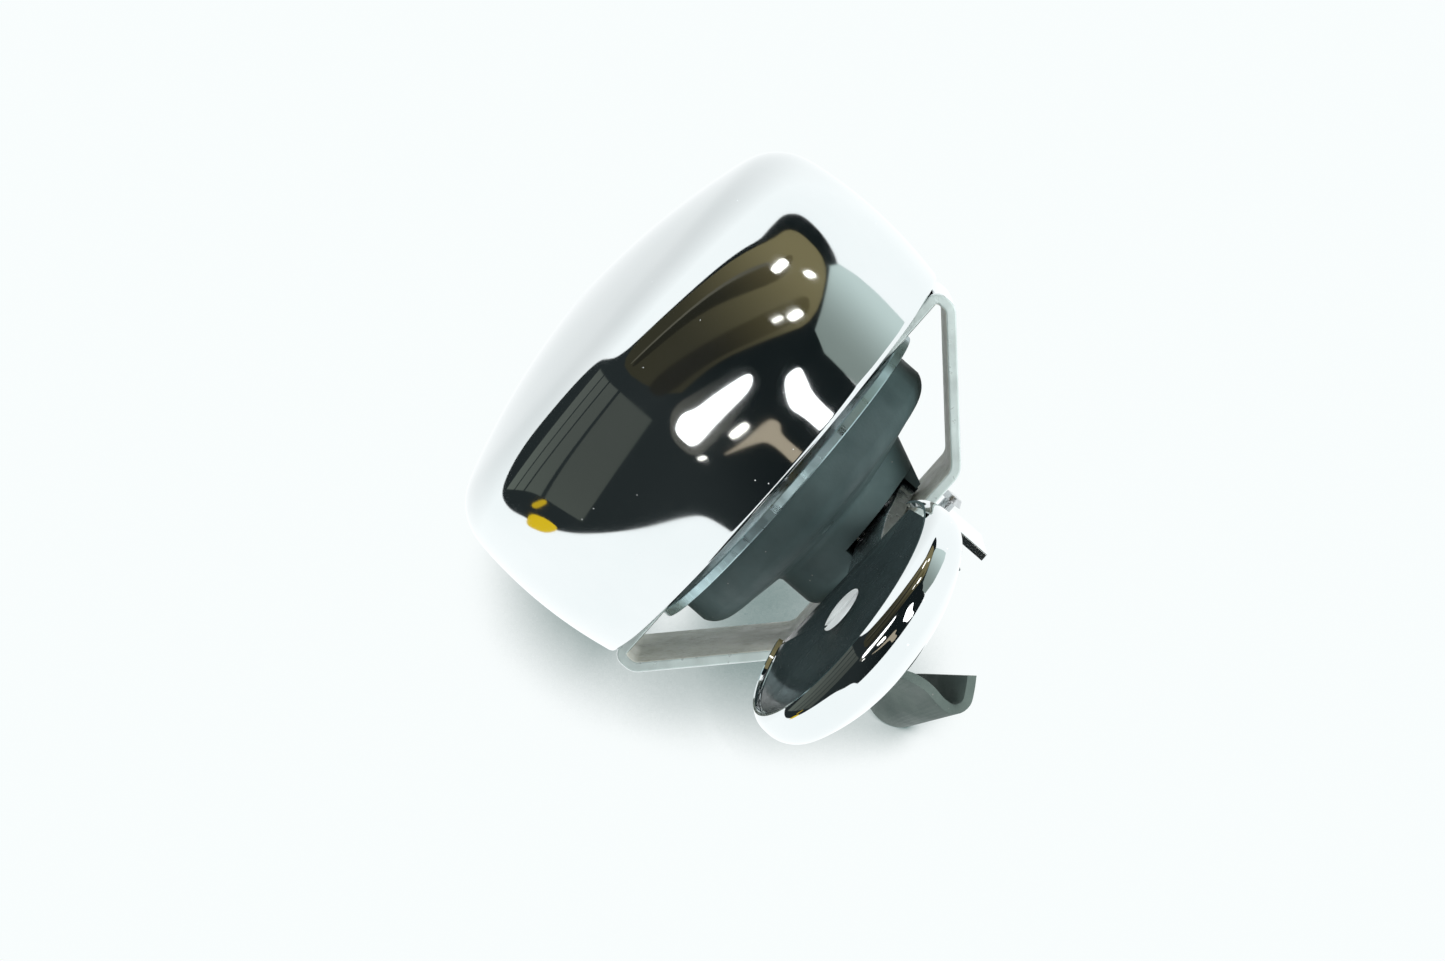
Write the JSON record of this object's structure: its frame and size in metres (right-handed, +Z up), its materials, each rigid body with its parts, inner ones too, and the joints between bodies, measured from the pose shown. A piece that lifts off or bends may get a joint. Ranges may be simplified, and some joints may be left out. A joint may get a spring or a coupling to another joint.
{
  "type": "lever bell",
  "caption": "Cup-shaped chromed gong bell on a bent strap bracket, with a D-shaped finger lever, hidden hammer, bar saddle and loose rubber strap.",
  "frame": {"origin": "on the axis of the bar under the saddle, straight below the gong's centre", "axes": "+Z up along the gong's axis, +Y along the bar away from the lever, so the lever points along -Y; +X to the right when the lever points at the viewer"},
  "size_m": [0.0618, 0.0791, 0.0669],
  "materials": {
    "polished_chrome": "mirror-polished chrome plate",
    "bright_steel": "zinc-plated steel, satin",
    "ring_steel": "dull bluish rolled steel",
    "bracket_steel": "chromed outside, rough grey-tan inside",
    "black_rubber": "matt moulded rubber",
    "strap_rubber": "matt soft rubber, dusty",
    "black_gloss": "gloss black plastic, fine scratches",
    "brass": "turned brass",
    "red_fibre": "pressed fibre",
    "spring_steel": "drawn spring wire"
  },
  "bodies": {
    "bell": {"gong": "polished_chrome", "gong_boss": "bright_steel", "gong_washer": "red_fibre", "post_sleeve": "brass", "centre_post": "bright_steel", "spring_washer": "spring_steel", "saddle_nut": "bright_steel", "base_plate": "ring_steel", "housing": "black_rubber", "tab_rivets": "bright_steel", "housing_rivets": "bright_steel", "bracket": "bracket_steel", "saddle": "polished_chrome", "cradle": "black_rubber", "strap_stud": "bright_steel", "shaft_bush": "brass", "return_spring": "spring_steel", "spring_pin": "bright_steel", "rubber_strap": "strap_rubber", "strap_rivet": "bright_steel"},
    "lever": {"lever_shaft": "bright_steel", "lever_arm": "bright_steel", "lever_plate": "black_gloss", "lever_shell": "polished_chrome", "lever_screw": "bright_steel", "shell_pillar": "brass", "hammer_arm": "bright_steel", "hammer_head": "brass", "shaft_clip": "spring_steel"}
  },
  "joints": [
    {"name": "lever_swing", "type": "hinge", "parent": "bell", "child": "lever", "pos_m": [0.0053, 0, 0.0252], "axis": [0, 0, 1], "range_deg": [0, 30], "stiffness_Nm_per_rad": 0.02, "springref_deg": -34.38}
  ]
}
